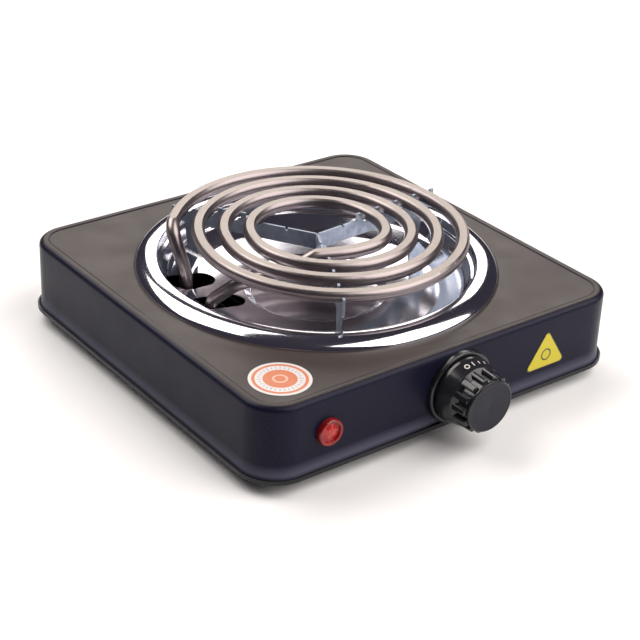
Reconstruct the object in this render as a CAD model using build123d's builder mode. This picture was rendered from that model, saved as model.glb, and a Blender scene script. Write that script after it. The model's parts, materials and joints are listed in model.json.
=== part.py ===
"""Single-coil electric hot plate, in millimetres.

The origin is on the table, under the centre of the coil. +Z is up, the front wall with the
knob faces -Y, the cord inlet is in the rear wall at +Y and the pilot lamp is towards -X.
"""

import os
from math import cos, radians, sin, sqrt

from build123d import *

# Housing
SIDE = 220.0  # width and depth outside the walls
CORNER_R = 18.5
FOOT_H = 7.0
SHEET = 0.8
TOP_Z = 46.4  # raised border of the top
DECK_Z = TOP_Z - 0.4  # sunken panel that the bowl's rim rests on
DECK_SIDE = 208.6
TOP_ROUND = 3.0
COVER_TOP = FOOT_H + SHEET
FLARE_TOP = 15.5
FLARE_OUT = 1.3
LIP_H = 2.2
WALL_IN = SIDE / 2 - SHEET  # inner face of each wall

# Bowl: the profile is its underside, and the sheet lies on top of it
RIM_R = 93.9
CREST_R = 84.6
CREST_H = 4.6
BOWL_SHEET = 0.6
BOWL_HOLE_R = 87.0
BOWL_FLOOR = DECK_Z - 16.5
SLOT_1 = (-54.5, 35.0, 5.0)  # x, y and turn of the slots for the coil's ends
SLOT_2 = (-53.5, 10.5, -8.0)
SLOT_LENGTH, SLOT_WIDTH = 28.0, 14.0
LUG_R = 84.2

# Coil: a tube wound clockwise, seen from above, from its outer end to its inner end
TUBE_R = 3.5
TUBE_Z = DECK_Z + 18.4
COIL_TOP = TUBE_Z + 2.9  # the tube is rolled flat on top
COIL_BOTTOM = TUBE_Z - TUBE_R
OUTER_TURN_R = 74.6
PITCH = 13.25
TURNS = 4
WIND_FROM = 143.0  # direction in which each turn starts, in degrees
ROUND_FOR = (225.0, 190.0, 180.0)  # degrees of each turn before it steps inwards
OUTER_END = 134.0
INNER_END = -112.0

# Coil ends under the bowl
PIN_1 = (-59.0, 33.0)
PIN_2 = (-59.5, 8.5)
TUBE_END_Z = 21.0
SEAL_LENGTH = 3.0
PIN_R = 1.2
PIN_TIP_Z = 10.5

# Spider
ARM_SHEET = 1.2
ARMS = {  # direction of each strip, and which of its tabs it has, from the middle out
    "rear_left": (122.0, (2, 3)),
    "right": (4.0, (0, 1, 2, 3, 4)),
    "front": (-118.0, (0, 1, 2, 3, 4)),
}
ARM_TOP = COIL_BOTTOM + 1.5
ARM_BOTTOM = COIL_BOTTOM - 7.1
ARM_INNER_END = 0.8
NOTCH_GAP = 0.9  # room between the tube and its notch
TAB_TOP = COIL_BOTTOM + 5.2
TAB_WIDTH = 2.6
LEG_R = 70.0

# Controls on the front wall
KNOB_X, KNOB_Z = 3.0, 25.5
COLLAR_R = 19.2
COLLAR_H = 3.0
SPINDLE_R = 3.0
KNOB_GAP = 0.4
KNOB_DEPTH = 20.0
RIBS = 14
BODY_SCREW_X = 14.0  # thermostat screws, to each side of the spindle
LAMP_X, LAMP_Z = -75.0, 27.3
LAMP_R = 6.8
LAMP_BODY_R = 5.0
LAMP_TUBE_R = 3.8

# Cord inlet in the rear wall
INLET_X, INLET_Z = -45.0, 24.0
INLET_BORE_R = 3.4
INLET_HOLE_R = 5.6
INLET_HEAD_R = 7.2
INLET_HEAD_H = 2.0
INLET_INNER_H = 2.7

# Fasteners
SCREW_R = 1.95
CLEAR_R = 2.15
FOOT_X, FOOT_Y = 82.0, 88.0
FOOT_SPOTS = {
    "front_left": (-FOOT_X, -FOOT_Y),
    "front_right": (FOOT_X, -FOOT_Y),
    "rear_left": (-FOOT_X, FOOT_Y),
    "rear_right": (FOOT_X, FOOT_Y),
}
SCREW_HEAD_H = 2.2
FOOT_BORE_DEPTH = 4.2

BRACKET_SPOT = (-57.0, 19.75)
EARTH_SPOT = (-22.0, 92.0)

# Terminals and wires
BLOCK_X, BLOCK_Y = 10.0, 96.0
BLOCK_H = 13.0
POLES = 3
POLE_PITCH = 11.0
WIRE_R = 1.2
CABLE_Z = 13.0

# Labels
LABEL_SHEET = 0.15
DISC_SPOT = (-85.3, -86.0)
DISC_R = 14.8
SIGN_X, SIGN_Z = 61.2, 27.2
SIGN_HALF = 13.7
SIGN_LOW, SIGN_HIGH = -9.7, 11.2
SIGN_CORNER_R = 1.8


def save(piece, name):
    """Name a finished piece and write its STEP file."""
    piece.part.label = name
    export_step(piece.part, f"parts/{name}.step")


def polar(radius, angle, height=0.0):
    """Point at a plan radius and direction."""
    return Vector(radius * cos(radians(angle)), radius * sin(radians(angle)), height)


def clockwise(angle):
    """Direction of travel, clockwise in plan, at a point in the given direction."""
    return Vector(sin(radians(angle)), -cos(radians(angle)), 0)


def facing_front(y, x=KNOB_X, z=KNOB_Z):
    """Plane parallel to the front wall whose normal points to the user."""
    return Plane(origin=(x, y, z), x_dir=(1, 0, 0), z_dir=(0, -1, 0))


def facing_rear(y, x, z):
    """Plane parallel to the rear wall whose normal points away from the housing."""
    return Plane(origin=(x, y, z), x_dir=(-1, 0, 0), z_dir=(0, 1, 0))


def wire(name, points, bend=5.0):
    """Insulated wire along straight runs with round bends."""
    start, after = Vector(*points[0]), Vector(*points[1])
    with BuildPart() as lead:
        with BuildLine() as route:
            FilletPolyline(*points, radius=bend)
        with BuildSketch(Plane(origin=start, z_dir=after - start)):
            Circle(WIRE_R)
        sweep(path=route.wires()[0])
    save(lead, name)


# Housing: a pressed sheet box, open below, with a flared bottom edge
def housing():
    hollow = SIDE - 2 * SHEET
    inside_r = CORNER_R - SHEET
    with BuildPart() as shell:
        with BuildSketch(Plane.XY.offset(FLARE_TOP)):
            RectangleRounded(SIDE, SIDE, CORNER_R)
        extrude(amount=TOP_Z - FLARE_TOP)
        fillet(shell.faces().sort_by(Axis.Z)[-1].edges(), TOP_ROUND)
        with BuildSketch(Plane.XY.offset(FLARE_TOP)):
            RectangleRounded(hollow, hollow, inside_r)
        extrude(amount=DECK_Z - SHEET - FLARE_TOP, mode=Mode.SUBTRACT)
        fillet(
            shell.edges().filter_by_position(Axis.Z, DECK_Z - SHEET - 0.01, DECK_Z - SHEET + 0.01),
            TOP_ROUND - SHEET,
        )
        for side, corner, mode in (
            (SIDE, CORNER_R, Mode.ADD),
            (hollow, inside_r, Mode.SUBTRACT),
        ):
            with BuildSketch(Plane.XY.offset(FLARE_TOP)):
                RectangleRounded(side, side, corner)
            with BuildSketch(Plane.XY.offset(COVER_TOP)):
                RectangleRounded(side + 2 * FLARE_OUT, side + 2 * FLARE_OUT, corner + FLARE_OUT)
            loft(mode=mode)
        with BuildSketch(Plane.XY.offset(TOP_Z)):
            RectangleRounded(DECK_SIDE, DECK_SIDE, CORNER_R - 4)
        extrude(amount=DECK_Z - TOP_Z, mode=Mode.SUBTRACT)
        with BuildSketch(Plane.XY.offset(TOP_Z)):
            Circle(BOWL_HOLE_R)
        extrude(amount=-5, mode=Mode.SUBTRACT)
        with BuildSketch(facing_front(-WALL_IN + 2)):
            Circle(SPINDLE_R + 1)
            with Locations((-BODY_SCREW_X, 0), (BODY_SCREW_X, 0)):
                Circle(CLEAR_R)
            with Locations((LAMP_X - KNOB_X, LAMP_Z - KNOB_Z)):
                Circle(LAMP_BODY_R + 0.1)
        extrude(amount=5, mode=Mode.SUBTRACT)
        with BuildSketch(facing_rear(WALL_IN - 2, INLET_X, INLET_Z)):
            Circle(INLET_HOLE_R)
        extrude(amount=5, mode=Mode.SUBTRACT)
    save(shell, "housing_shell")


# Bottom cover: a shallow tray whose turned-up rim laps the housing's flared edge
def bottom_cover():
    rim = SIDE + 2 * (FLARE_OUT + 0.1)
    with BuildPart() as cover:
        with BuildSketch(Plane.XY.offset(FOOT_H)):
            RectangleRounded(rim + 1.6, rim + 1.6, CORNER_R + FLARE_OUT + 0.9)
        extrude(amount=LIP_H)
        with BuildSketch(Plane.XY.offset(COVER_TOP)):
            RectangleRounded(rim, rim, CORNER_R + FLARE_OUT + 0.1)
        extrude(amount=LIP_H, mode=Mode.SUBTRACT)
        with BuildSketch(Plane.XY.offset(FOOT_H)):
            with Locations((0, 45), (0, -45)):
                with GridLocations(9, 0, 9, 1):
                    SlotOverall(38, 3, rotation=90)
            with GridLocations(2 * FOOT_X, 2 * FOOT_Y, 2, 2):
                Circle(CLEAR_R)
            with Locations(BRACKET_SPOT, EARTH_SPOT):
                Circle(1.7)
        extrude(amount=5, mode=Mode.SUBTRACT)
    save(cover, "bottom_cover")


# Feet and what holds them
def foot(name, x, y):
    with BuildPart() as pad:
        with BuildSketch():
            with Locations((x, y)):
                Circle(8.5)
        extrude(amount=FOOT_H, taper=-4)
        fillet(pad.faces().sort_by(Axis.Z)[0].edges(), 0.8)
        with BuildSketch():
            with Locations((x, y)):
                Circle(4.2)
        extrude(amount=FOOT_BORE_DEPTH, mode=Mode.SUBTRACT)
        with BuildSketch():
            with Locations((x, y)):
                Circle(CLEAR_R)
        extrude(amount=FOOT_H, mode=Mode.SUBTRACT)
    save(pad, f"foot_{name}")


def foot_screws():
    with BuildPart() as screws:
        for x, y in FOOT_SPOTS.values():
            with BuildSketch(Plane.XY.offset(FOOT_BORE_DEPTH - SCREW_HEAD_H)):
                with Locations((x, y)):
                    Circle(3.7)
            extrude(amount=SCREW_HEAD_H)
            with BuildSketch(Plane.XY.offset(FOOT_BORE_DEPTH)):
                with Locations((x, y)):
                    Circle(SCREW_R)
            extrude(amount=8)
            with BuildSketch(Plane.XY.offset(FOOT_BORE_DEPTH - SCREW_HEAD_H)):
                with Locations((x, y)):
                    Rectangle(5, 0.9)
                    Rectangle(0.9, 5)
            extrude(amount=1.2, mode=Mode.SUBTRACT)
    save(screws, "foot_screws")


def corner_brackets():
    """Welded angles inside the front and rear walls that the foot screws bite into."""
    gauge = 1.2
    with BuildPart() as brackets:
        for x, y in FOOT_SPOTS.values():
            side = 1 if y > 0 else -1
            with BuildSketch(Plane.XY.offset(COVER_TOP)):
                with Locations((x, side * (WALL_IN + 76.0) / 2)):
                    Rectangle(16, WALL_IN - 76.0)
            extrude(amount=gauge)
            with BuildSketch(Plane.XY.offset(COVER_TOP)):
                with Locations((x, side * (WALL_IN - gauge / 2))):
                    Rectangle(16, gauge)
            extrude(amount=10)
            with BuildSketch(Plane.XY.offset(COVER_TOP)):
                with Locations((x, y)):
                    Circle(SCREW_R + 0.05)
            extrude(amount=gauge, mode=Mode.SUBTRACT)
    save(brackets, "corner_brackets")


# Drip bowl: a spun dish with a half-round rim, two slots for the coil's ends and three lugs
def drip_bowl():
    with BuildPart() as bowl:
        with BuildSketch(Plane.XZ):
            with BuildLine():
                flank = ThreePointArc(
                    (RIM_R, DECK_Z), (RIM_R - 2.7, DECK_Z + 3.2), (CREST_R, DECK_Z + CREST_H)
                )
                FilletPolyline(
                    flank @ 1,
                    (CREST_R - 2.0, DECK_Z + CREST_H),
                    (CREST_R - 2.9, DECK_Z + 1.0),
                    (CREST_R - 5.0, DECK_Z + 0.3),
                    (CREST_R - 7.4, DECK_Z - 7.5),
                    (CREST_R - 20.0, DECK_Z - 11.5),
                    (38.0, DECK_Z - 14.0),
                    (34.0, BOWL_FLOOR),
                    (0.0, BOWL_FLOOR),
                    radius=(0.9, 0.9, 0.9, 4.0, 6.0, 2.0, 2.0),
                )
                offset(amount=BOWL_SHEET, side=Side.RIGHT)
            make_face()
        revolve(axis=Axis.Z)
        for x, y, turn in (SLOT_1, SLOT_2):
            with BuildSketch(Plane.XY.offset(BOWL_FLOOR)):
                with Locations((x, y)):
                    SlotOverall(SLOT_LENGTH, SLOT_WIDTH, rotation=turn)
            extrude(amount=12, mode=Mode.SUBTRACT)
        with BuildSketch(Plane.XY.offset(DECK_Z - SHEET - 0.9)):
            with PolarLocations(LUG_R, 3, start_angle=90):
                Rectangle(10.6, 12)
        extrude(amount=0.8)
    save(bowl, "drip_bowl")


# Heating coil
def biarc_joint(start, leave, end, arrive):
    """Point where two arcs that join start to end, with these directions there, meet."""
    chord = end - start
    spread = 2 * (1 - leave.dot(arrive))
    reach = chord.dot(leave + arrive)
    handle = (sqrt(reach**2 + spread * chord.dot(chord)) - reach) / spread
    return (start + end + (leave - arrive) * handle) / 2


def turn_radius(turn):
    return OUTER_TURN_R - PITCH * turn


def coil_route():
    """Whole centre line of the tube, from the terminal of its outer end to that of its inner end."""
    first = polar(turn_radius(0), OUTER_END, TUBE_Z)
    with BuildLine() as route:
        FilletPolyline(
            (*PIN_1, TUBE_END_Z),
            (*PIN_1, DECK_Z - 6),
            (-60.5, 37.0, DECK_Z + 6),
            first - clockwise(OUTER_END) * 12,
            first,
            radius=(10, 14, 10),
        )
        here, along = first, clockwise(OUTER_END)
        for turn in range(TURNS - 1):
            leave_at = WIND_FROM - ROUND_FOR[turn]
            leave = polar(turn_radius(turn), leave_at, TUBE_Z)
            TangentArc(here, leave, tangent=along)
            arrive = polar(turn_radius(turn + 1), WIND_FROM, TUBE_Z)
            joint = biarc_joint(leave, clockwise(leave_at), arrive, clockwise(WIND_FROM))
            step = TangentArc(leave, joint, tangent=clockwise(leave_at))
            TangentArc(joint, arrive, tangent=step % 1)
            here, along = arrive, clockwise(WIND_FROM)
        half_way = polar(turn_radius(TURNS - 1), WIND_FROM - 180, TUBE_Z)
        TangentArc(here, half_way, tangent=along)
        last = polar(28.3, INNER_END, TUBE_Z)
        joint = biarc_joint(half_way, clockwise(WIND_FROM - 180), last, clockwise(INNER_END))
        step = TangentArc(half_way, joint, tangent=clockwise(WIND_FROM - 180))
        TangentArc(joint, last, tangent=step % 1)
        away = clockwise(INNER_END)
        FilletPolyline(
            last,
            last + away * 9,
            last + away * 24 - Vector(0, 0, 8.6),
            (-53.0, -4.5, DECK_Z + 4.5),
            (*PIN_2, DECK_Z - 9),
            (*PIN_2, TUBE_END_Z),
            radius=(9, 14, 10, 8),
        )
    return route


def heating_coil():
    route = coil_route()
    with BuildPart() as coil:
        with BuildSketch(Plane(origin=(*PIN_1, TUBE_END_Z))):
            Circle(TUBE_R)
        sweep(path=route.wires()[0])
        with BuildSketch(Plane.XY.offset(COIL_TOP)):
            Circle(OUTER_TURN_R + 20)
        extrude(amount=TUBE_R, mode=Mode.SUBTRACT)
    save(coil, "heating_coil")


def coil_end_parts():
    """Ceramic seals in the tube's ends, and the pins that leave them."""
    with BuildPart() as seals:
        with BuildSketch(Plane.XY.offset(TUBE_END_Z - SEAL_LENGTH)):
            with Locations(PIN_1, PIN_2):
                Circle(TUBE_R - 0.4)
                Circle(PIN_R, mode=Mode.SUBTRACT)
        extrude(amount=SEAL_LENGTH)
    save(seals, "coil_end_seals")
    with BuildPart() as pins:
        with BuildSketch(Plane.XY.offset(PIN_TIP_Z)):
            with Locations(PIN_1, PIN_2):
                Circle(PIN_R)
        extrude(amount=TUBE_END_Z - PIN_TIP_Z)
    save(pins, "coil_terminal_pins")
    with BuildPart() as connectors:
        with BuildSketch(Plane.XY.offset(PIN_TIP_Z + 0.5)):
            with Locations(PIN_1, PIN_2):
                Circle(3.2)
                Circle(PIN_R + 0.05, mode=Mode.SUBTRACT)
        extrude(amount=5)
    save(connectors, "coil_connectors")


def coil_end_bracket():
    """Sheet bridge on the bottom cover that grips both ends of the tube under the bowl."""
    gauge = 1.2
    with BuildPart() as bridge:
        with BuildSketch(Plane.XY.offset(TUBE_END_Z + 1)):
            with Locations((PIN_1[0], BRACKET_SPOT[1])):
                RectangleRounded(14, 42, 3)
        extrude(amount=gauge)
        with BuildSketch(Plane.XY.offset(COVER_TOP)):
            with Locations((PIN_1[0] + 7 - gauge / 2, BRACKET_SPOT[1])):
                Rectangle(gauge, 12)
        extrude(amount=TUBE_END_Z + 1 - COVER_TOP)
        with BuildSketch(Plane.XY.offset(COVER_TOP)):
            with Locations((PIN_1[0] + 1, BRACKET_SPOT[1])):
                Rectangle(12, 12)
        extrude(amount=gauge)
        with BuildSketch(Plane.XY.offset(TUBE_END_Z)):
            with Locations(PIN_1, PIN_2):
                Circle(TUBE_R + 0.02)
        extrude(amount=5, mode=Mode.SUBTRACT)
        with BuildSketch(Plane.XY.offset(COVER_TOP)):
            with Locations(BRACKET_SPOT):
                Circle(1.55)
        extrude(amount=gauge, mode=Mode.SUBTRACT)
    save(bridge, "coil_end_bracket")


def small_screw(name, x, y, length):
    """Pan-head screw driven upwards from under the bottom cover."""
    with BuildPart() as screw:
        with BuildSketch(Plane.XY.offset(FOOT_H - 1.8)):
            with Locations((x, y)):
                Circle(3.0)
        extrude(amount=1.8)
        with BuildSketch(Plane.XY.offset(FOOT_H)):
            with Locations((x, y)):
                Circle(1.5)
        extrude(amount=length)
        with BuildSketch(Plane.XY.offset(FOOT_H - 1.8)):
            with Locations((x, y)):
                Rectangle(4, 0.8)
                Rectangle(0.8, 4)
        extrude(amount=1.0, mode=Mode.SUBTRACT)
    save(screw, name)


# Spider: three upright strips, notched for the turns, that carry the coil over the bowl
def turn_radii_at(angle):
    """Plan radius of each turn's centre line where a strip crosses it."""
    travel = (WIND_FROM - angle) % 360
    radii = []
    for turn in range(TURNS):
        start = ROUND_FOR[min(turn, TURNS - 2)]
        share = max(0.0, (travel - start) / (360 - start))
        eased = share * share * (3 - 2 * share)
        radii.append(turn_radius(turn) - PITCH * eased)
    return radii


def support_arm(name, angle, kept_tabs):
    radii = turn_radii_at(angle)
    gaps = [(a + b) / 2 for a, b in zip(radii, radii[1:])]
    tabs = [radii[-1] - PITCH / 2, *gaps, radii[0] + PITCH / 2]
    upright = Plane(origin=(0, 0, 0), x_dir=polar(1, angle), z_dir=clockwise(angle))
    tip = tabs[-1] + TAB_WIDTH / 2
    with BuildPart() as arm:
        with BuildSketch(upright.offset(-ARM_SHEET / 2)):
            with BuildLine():
                Polyline(
                    (ARM_INNER_END, ARM_BOTTOM),
                    (LEG_R - 6, ARM_BOTTOM),
                    (LEG_R - 3, DECK_Z - 9.4),
                    (LEG_R + 3.4, DECK_Z - 7.4),
                    (LEG_R + 5, ARM_BOTTOM),
                    (tip, ARM_BOTTOM + 3.5),
                    (tip, ARM_TOP),
                    (ARM_INNER_END, ARM_TOP),
                    close=True,
                )
            make_face()
            for tab in kept_tabs:
                with Locations((tabs[tab], (ARM_TOP + TAB_TOP) / 2 - 0.5)):
                    Rectangle(TAB_WIDTH, TAB_TOP - ARM_TOP + 1)
            for radius in radii:
                with Locations((radius, TUBE_Z)):
                    Circle(TUBE_R + NOTCH_GAP, mode=Mode.SUBTRACT)
            with Locations((tabs[0] - 11, ARM_TOP)):
                Rectangle(1.6, 3, mode=Mode.SUBTRACT)
        extrude(amount=ARM_SHEET)
    save(arm, f"coil_support_{name}")


# Thermostat
def thermostat():
    front = -WALL_IN
    with BuildPart() as plate:
        with BuildSketch(facing_front(front)):
            RectangleRounded(36, 24, 3)
            Circle(5.0, mode=Mode.SUBTRACT)
            with Locations((-BODY_SCREW_X, 0), (BODY_SCREW_X, 0)):
                Circle(SCREW_R + 0.05, mode=Mode.SUBTRACT)
        extrude(amount=-1.2)
        with BuildSketch(facing_front(front + 1.2)):
            with Locations((0, 11.2), (0, -11.2)):
                Rectangle(12, 1.2)
        extrude(amount=-16)
    save(plate, "thermostat_frame")
    with BuildPart() as stack:
        with BuildSketch(facing_front(front + 5)):
            Rectangle(14, 21)
            Circle(5.0, mode=Mode.SUBTRACT)
        extrude(amount=-10)
        fillet(stack.edges().filter_by(Axis.Y), 0.9)
    save(stack, "thermostat_insulator")
    with BuildPart() as bush:
        with BuildSketch(facing_front(front)):
            Circle(4.95)
            Circle(SPINDLE_R + 0.05, mode=Mode.SUBTRACT)
        extrude(amount=-14)
    save(bush, "thermostat_bush")
    with BuildPart() as blades:
        with BuildSketch(facing_front(front + 15.2)):
            with Locations((0, 4.5), (0, -4.5)):
                Rectangle(30, 6)
        extrude(amount=-0.8)
        with BuildSketch(Plane.XY.offset(KNOB_Z)):
            with Locations((KNOB_X, front + 18.2)):
                Rectangle(6, 0.8)
        extrude(amount=7.5, both=True)
    save(blades, "thermostat_blades")
    with BuildPart() as screws:
        for x in (KNOB_X - BODY_SCREW_X, KNOB_X + BODY_SCREW_X):
            with BuildSketch(facing_front(-SIDE / 2, x)):
                Circle(3.4)
            extrude(amount=1.6)
            with BuildSketch(facing_front(-SIDE / 2, x)):
                Circle(SCREW_R)
            extrude(amount=-5)
            with BuildSketch(facing_front(-SIDE / 2 - 1.6, x)):
                Rectangle(4.4, 0.8)
            extrude(amount=-0.8, mode=Mode.SUBTRACT)
    save(screws, "thermostat_screws")


def thermostat_spindle():
    """Shaft with a flat on its outer end, which the knob grips."""
    start = -WALL_IN + 14.6
    tip = -SIDE / 2 - COLLAR_H - KNOB_GAP - 15
    with BuildPart() as spindle:
        with BuildSketch(facing_front(start)):
            Circle(SPINDLE_R)
        extrude(amount=start - tip)
        with BuildSketch(facing_front(tip + 12)):
            with Locations((0, SPINDLE_R)):
                Rectangle(2 * SPINDLE_R, 2 * SPINDLE_R - 4.5)
        extrude(amount=12, mode=Mode.SUBTRACT)
    save(spindle, "thermostat_spindle")


# Knob and the collar behind it
def knob_collar():
    with BuildPart() as collar:
        with BuildSketch(facing_front(-SIDE / 2)):
            Circle(COLLAR_R)
        extrude(amount=COLLAR_H)
        fillet(collar.faces().sort_by(Axis.Y)[0].edges(), 1.0)
        with BuildSketch(facing_front(-SIDE / 2)):
            Circle(COLLAR_R - 1.2)
        extrude(amount=COLLAR_H - 0.7, mode=Mode.SUBTRACT)
        with BuildSketch(facing_front(-SIDE / 2)):
            Circle(SPINDLE_R + 1)
        extrude(amount=COLLAR_H, mode=Mode.SUBTRACT)
        with BuildSketch(facing_front(-SIDE / 2 - COLLAR_H)):
            with Locations((0, COLLAR_R - 1.2)):
                Rectangle(1.0, 2.0)
        extrude(amount=-0.3, mode=Mode.SUBTRACT)
        with BuildSketch(facing_front(-SIDE / 2, z=FLARE_TOP + 0.2)):
            Rectangle(2 * COLLAR_R, 2 * COLLAR_R, align=(Align.CENTER, Align.MAX))
        extrude(amount=FLARE_OUT + 1.0, mode=Mode.SUBTRACT)
    save(collar, "knob_collar")


def knob():
    """Crown knob: a tapered skirt, a ribbed grip and a flat face."""
    back = -SIDE / 2 - COLLAR_H - KNOB_GAP
    core = Plane(origin=(KNOB_X, back, KNOB_Z), x_dir=(1, 0, 0), z_dir=(0, 0, 1))
    with BuildPart() as crown:
        with BuildSketch(core):
            with BuildLine():
                Polyline(
                    (0, 0),
                    (17.4, 0),
                    (17.4, -1.6),
                    (15.2, -10.2),
                    (13.4, -11.4),
                    (13.4, -KNOB_DEPTH + 0.6),
                    (12.8, -KNOB_DEPTH),
                    (0, -KNOB_DEPTH),
                    close=True,
                )
            make_face()
        revolve(axis=Axis(origin=(KNOB_X, back, KNOB_Z), direction=(0, 1, 0)))
        with BuildSketch(facing_front(back - 4.5)):
            with PolarLocations(13.9, RIBS, start_angle=90 + 180 / RIBS):
                Rectangle(3.4, 3.0)
        extrude(amount=KNOB_DEPTH - 6.5, taper=2.5)
        with BuildSketch(facing_front(back)):
            Circle(15.4)
            Circle(6.0, mode=Mode.SUBTRACT)
        extrude(amount=8, mode=Mode.SUBTRACT)
        with BuildSketch(facing_front(back)):
            Circle(SPINDLE_R + 0.05)
        extrude(amount=15.4, mode=Mode.SUBTRACT)
    save(crown, "knob")


# Pilot lamp
def pilot_lamp():
    with BuildPart() as lens:
        with BuildSketch(facing_front(-SIDE / 2, LAMP_X, LAMP_Z)):
            Circle(LAMP_R)
        extrude(amount=1.4)
        fillet(lens.faces().sort_by(Axis.Y)[0].edges(), 0.6)
        with BuildSketch(facing_front(-SIDE / 2 - 1.4, LAMP_X, LAMP_Z)):
            Circle(5.2)
        extrude(amount=1.4, taper=25)
        with BuildSketch(facing_front(-SIDE / 2, LAMP_X, LAMP_Z)):
            Circle(LAMP_BODY_R)
        extrude(amount=-12)
        with BuildSketch(facing_front(-SIDE / 2 + 12, LAMP_X, LAMP_Z)):
            Circle(LAMP_TUBE_R)
        extrude(amount=12.6, mode=Mode.SUBTRACT)
    save(lens, "pilot_lamp_lens")
    with BuildPart() as clip:
        with BuildSketch(facing_front(-WALL_IN, LAMP_X, LAMP_Z)):
            Circle(LAMP_BODY_R + 3)
            Circle(LAMP_BODY_R + 0.02, mode=Mode.SUBTRACT)
        extrude(amount=-1.0)
    save(clip, "pilot_lamp_clip")
    with BuildPart() as bulb:
        with BuildSketch(facing_front(-SIDE / 2 + 9, LAMP_X, LAMP_Z)):
            Circle(2.5)
        extrude(amount=8.4)
        fillet(bulb.faces().sort_by(Axis.Y)[0].edges(), 2.0)
    save(bulb, "pilot_lamp_bulb")
    with BuildPart() as holder:
        with BuildSketch(facing_front(-SIDE / 2 + 16, LAMP_X, LAMP_Z)):
            Circle(LAMP_TUBE_R - 0.05)
        extrude(amount=7)
    save(holder, "pilot_lamp_holder")


# Cord inlet and terminal block
def cord_inlet():
    with BuildPart() as bushing:
        with BuildSketch(facing_rear(WALL_IN - INLET_INNER_H, INLET_X, INLET_Z)):
            Circle(INLET_HEAD_R)
        extrude(amount=INLET_INNER_H)
        with BuildSketch(facing_rear(WALL_IN, INLET_X, INLET_Z)):
            Circle(INLET_HOLE_R - 0.05)
        extrude(amount=SHEET)
        with BuildSketch(facing_rear(SIDE / 2, INLET_X, INLET_Z)):
            Circle(INLET_HEAD_R)
        extrude(amount=INLET_HEAD_H)
        fillet(bushing.faces().sort_by(Axis.Y)[-1].edges(), 0.9)
        with BuildSketch(facing_rear(WALL_IN - INLET_INNER_H, INLET_X, INLET_Z)):
            Circle(INLET_BORE_R)
        extrude(amount=INLET_INNER_H + SHEET + INLET_HEAD_H, mode=Mode.SUBTRACT)
    save(bushing, "cord_inlet_bushing")


def terminal_block():
    top = COVER_TOP + BLOCK_H
    with BuildPart() as block:
        with BuildSketch(Plane.XY.offset(COVER_TOP)):
            with Locations((BLOCK_X, BLOCK_Y)):
                Rectangle(POLES * POLE_PITCH + 1, 16)
        extrude(amount=BLOCK_H)
        with BuildSketch(Plane.XY.offset(top)):
            with Locations((BLOCK_X, BLOCK_Y)):
                with GridLocations(POLE_PITCH, 0, POLES, 1):
                    Circle(2.6)
        extrude(amount=-6, mode=Mode.SUBTRACT)
        with BuildSketch(Plane.XZ.offset(-BLOCK_Y - 8)):
            with Locations((BLOCK_X, CABLE_Z)):
                with GridLocations(POLE_PITCH, 0, POLES, 1):
                    Circle(WIRE_R + 0.1)
        extrude(amount=17, mode=Mode.SUBTRACT)
    save(block, "terminal_block")
    with BuildPart() as screws:
        with BuildSketch(Plane.XY.offset(top - 5.9)):
            with Locations((BLOCK_X, BLOCK_Y)):
                with GridLocations(POLE_PITCH, 0, POLES, 1):
                    Circle(2.4)
        extrude(amount=4)
        with BuildSketch(Plane.XY.offset(top - 1.9)):
            with Locations((BLOCK_X, BLOCK_Y)):
                with GridLocations(POLE_PITCH, 0, POLES, 1):
                    Rectangle(4.2, 0.7)
        extrude(amount=-0.9, mode=Mode.SUBTRACT)
    save(screws, "terminal_screws")


def earth_tag():
    """Ring tag of the earth lead, clamped on the bottom cover by its screw and nut."""
    with BuildPart() as tag:
        with BuildSketch(Plane.XY.offset(COVER_TOP)):
            with Locations(EARTH_SPOT):
                Circle(4.0)
            with Locations((EARTH_SPOT[0], EARTH_SPOT[1] - 7)):
                Rectangle(4, 10)
            with Locations(EARTH_SPOT):
                Circle(1.7, mode=Mode.SUBTRACT)
        extrude(amount=0.8)
        with BuildSketch(Plane.XY.offset(COVER_TOP + 0.8)):
            with Locations((EARTH_SPOT[0], EARTH_SPOT[1] - 9)):
                Rectangle(4, 6)
        extrude(amount=3.4)
    save(tag, "earth_tag")
    with BuildPart() as nut:
        with BuildSketch(Plane.XY.offset(COVER_TOP + 0.8)):
            with Locations(EARTH_SPOT):
                RegularPolygon(3.2, 6)
                Circle(1.55, mode=Mode.SUBTRACT)
        extrude(amount=2.4)
    save(nut, "earth_nut")


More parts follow.
